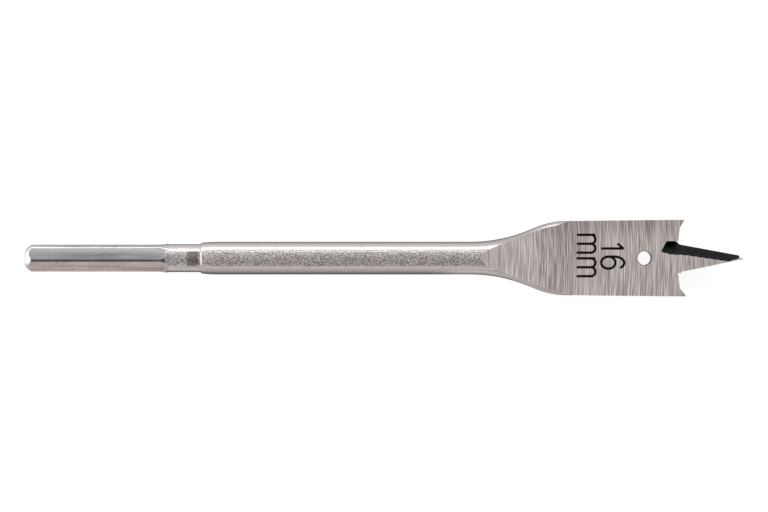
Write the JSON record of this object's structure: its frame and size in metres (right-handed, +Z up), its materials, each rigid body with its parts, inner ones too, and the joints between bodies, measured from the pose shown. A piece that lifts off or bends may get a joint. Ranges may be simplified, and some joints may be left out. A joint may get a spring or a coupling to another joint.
{
  "type": "spade drill bit",
  "caption": "Flat wood-boring bit: hexagonal shank, round shaft, and a ground blade with spurs, cutting lips, a long centre point and a small hole.",
  "frame": {"origin": "on the surface that the bit lies on, under the middle of its length", "axes": "+X along the bit from the shank to the tip, +Z up from the surface that it lies on, square to the blade's faces"},
  "size_m": [0.15, 0.016, 0.0071],
  "materials": {
    "steel": "blasted shaft, drawn shank, cross-ground blade faces and dark ground bevels on the centre point"
  },
  "bodies": {
    "root": {"drill_bit": "steel"}
  },
  "joints": []
}
